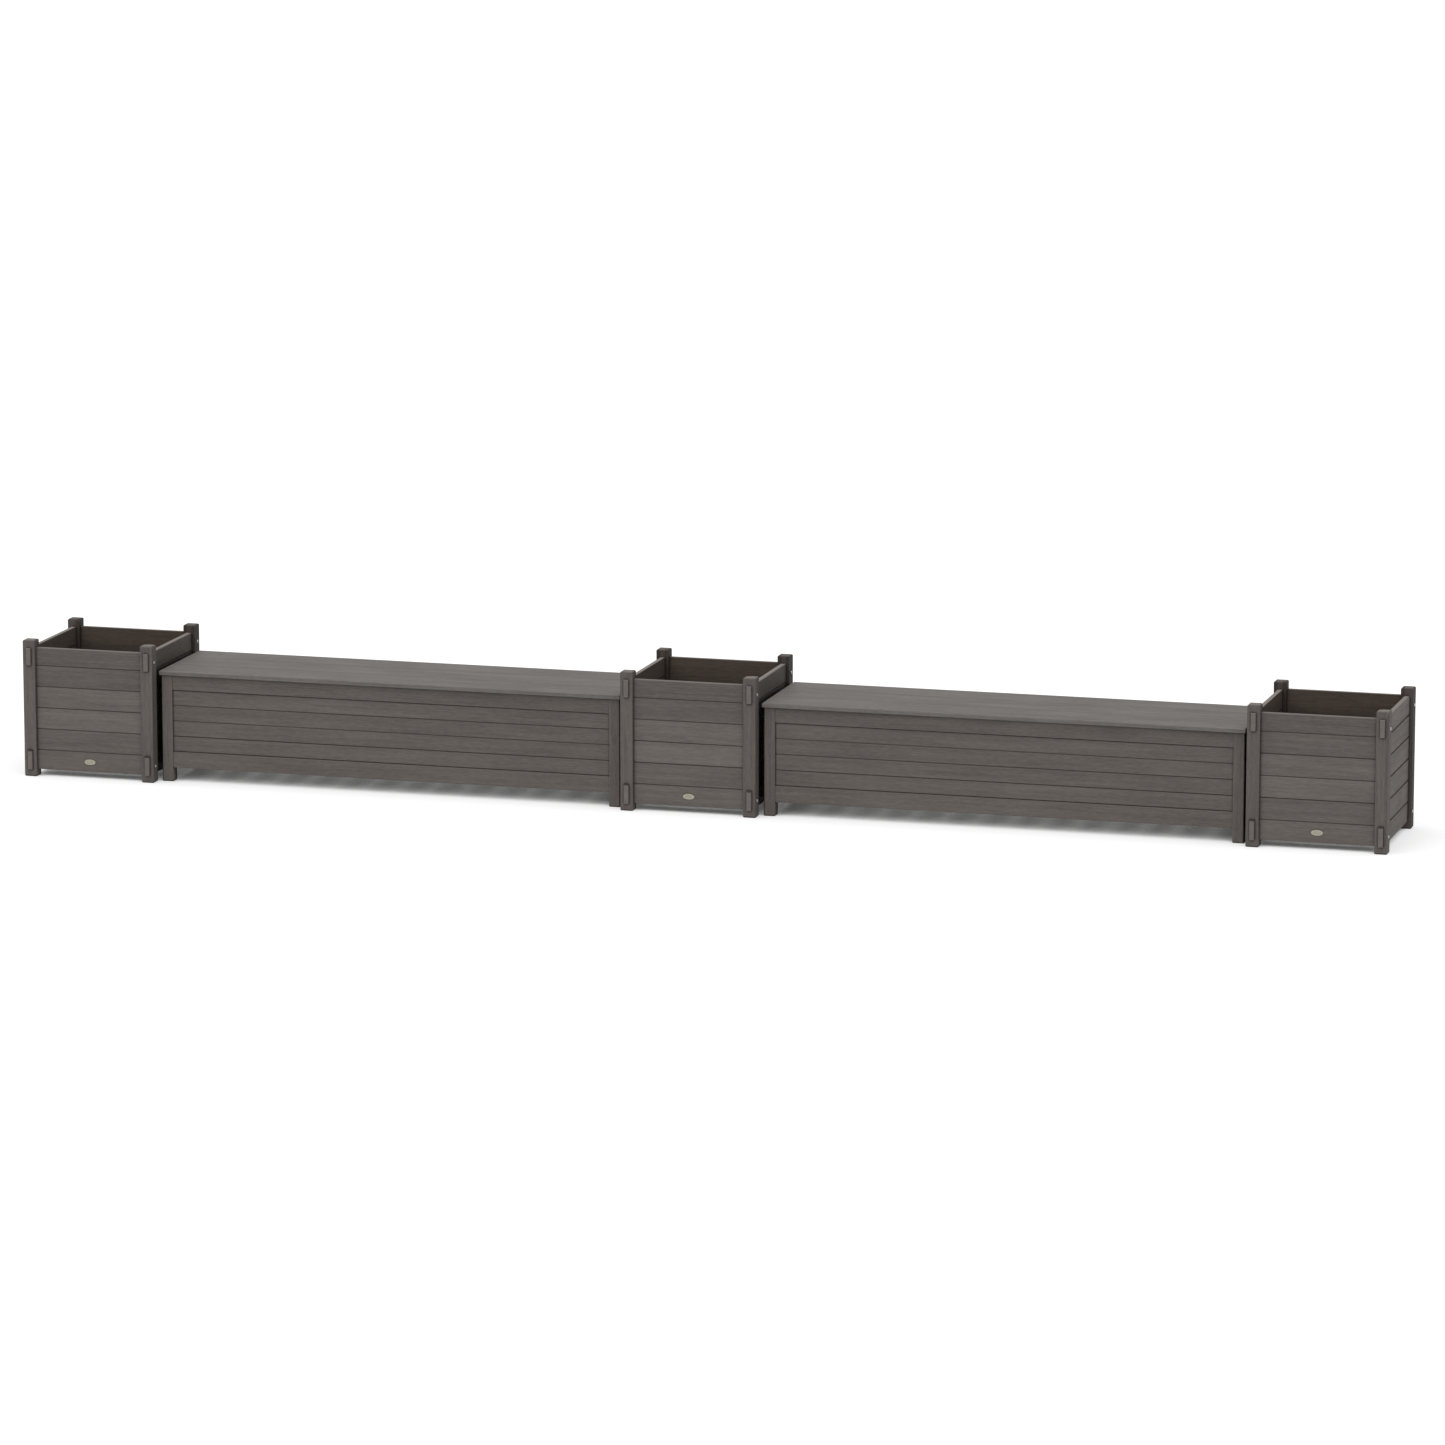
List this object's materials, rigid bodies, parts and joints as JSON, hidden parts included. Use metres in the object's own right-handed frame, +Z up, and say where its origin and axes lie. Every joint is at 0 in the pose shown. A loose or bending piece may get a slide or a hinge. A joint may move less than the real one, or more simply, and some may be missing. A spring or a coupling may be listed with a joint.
{
  "type": "bench with planters",
  "caption": "Row of square boarded timber planters with a boxed storage bench between each pair, each bench closed by a hinged lid that is the seat.",
  "frame": {"origin": "on the ground, under the centre of the middle planter", "axes": "+X runs along the row to a sitter's left, -Y is the front, +Z is up"},
  "size_m": [5.559, 0.568, 0.555],
  "materials": {
    "planter_posts": "grey-brown stain, matt",
    "planter_boards": "grey-brown stain, matt",
    "bench_posts": "grey-brown stain, matt",
    "bench_boards": "grey-brown stain, matt",
    "seat_boards": "grey-brown stain, satin",
    "inner_timber": "grey-brown stain, matt",
    "plate": "pale satin brass",
    "screws": "bright zinc",
    "hinge_steel": "satin steel"
  },
  "bodies": {
    "frame": {"left_planter_posts": "planter_posts", "left_planter_front_rails": "planter_boards", "left_planter_rear_rails": "planter_boards", "left_planter_side_rails": "planter_boards", "left_planter_front_slats": "planter_boards", "left_planter_rear_slats": "planter_boards", "left_planter_side_slats": "planter_boards", "left_planter_floor_slats": "inner_timber", "centre_planter_posts": "planter_posts", "centre_planter_front_rails": "planter_boards", "centre_planter_rear_rails": "planter_boards", "centre_planter_side_rails": "planter_boards", "centre_planter_front_slats": "planter_boards", "centre_planter_rear_slats": "planter_boards", "centre_planter_side_slats": "planter_boards", "centre_planter_floor_slats": "inner_timber", "right_planter_posts": "planter_posts", "right_planter_front_rails": "planter_boards", "right_planter_rear_rails": "planter_boards", "right_planter_side_rails": "planter_boards", "right_planter_front_slats": "planter_boards", "right_planter_rear_slats": "planter_boards", "right_planter_side_slats": "planter_boards", "right_planter_floor_slats": "inner_timber", "planter_floor_bearers": "inner_timber", "oval_plates": "plate", "planter_screws": "screws", "left_bench_posts": "bench_posts", "left_bench_front_rails": "bench_boards", "left_bench_rear_rails": "bench_boards", "left_bench_front_slats": "bench_boards", "left_bench_rear_slats": "bench_boards", "left_bench_end_rails": "bench_boards", "left_bench_end_slats": "bench_boards", "left_bench_cross_rail": "inner_timber", "left_bench_floor_slats": "inner_timber", "left_frame_hinge_leaves": "hinge_steel", "right_bench_posts": "bench_posts", "right_bench_front_rails": "bench_boards", "right_bench_rear_rails": "bench_boards", "right_bench_front_slats": "bench_boards", "right_bench_rear_slats": "bench_boards", "right_bench_end_rails": "bench_boards", "right_bench_end_slats": "bench_boards", "right_bench_cross_rail": "inner_timber", "right_bench_floor_slats": "inner_timber", "right_frame_hinge_leaves": "hinge_steel", "bench_floor_bearers": "inner_timber", "hinge_pins": "hinge_steel", "packing_blocks": "inner_timber"},
    "left_lid": {"left_lid_boards": "seat_boards", "left_lid_battens": "inner_timber", "left_lid_hinge_leaves": "hinge_steel"},
    "right_lid": {"right_lid_boards": "seat_boards", "right_lid_battens": "inner_timber", "right_lid_hinge_leaves": "hinge_steel"}
  },
  "joints": [
    {"name": "left_lid_hinge", "type": "hinge", "parent": "frame", "child": "left_lid", "pos_m": [-1.25, 0.2225, 0.434], "axis": [-1, 0, 0], "range_deg": [0, 105]},
    {"name": "right_lid_hinge", "type": "hinge", "parent": "frame", "child": "right_lid", "pos_m": [1.25, 0.2225, 0.434], "axis": [-1, 0, 0], "range_deg": [0, 105]}
  ]
}
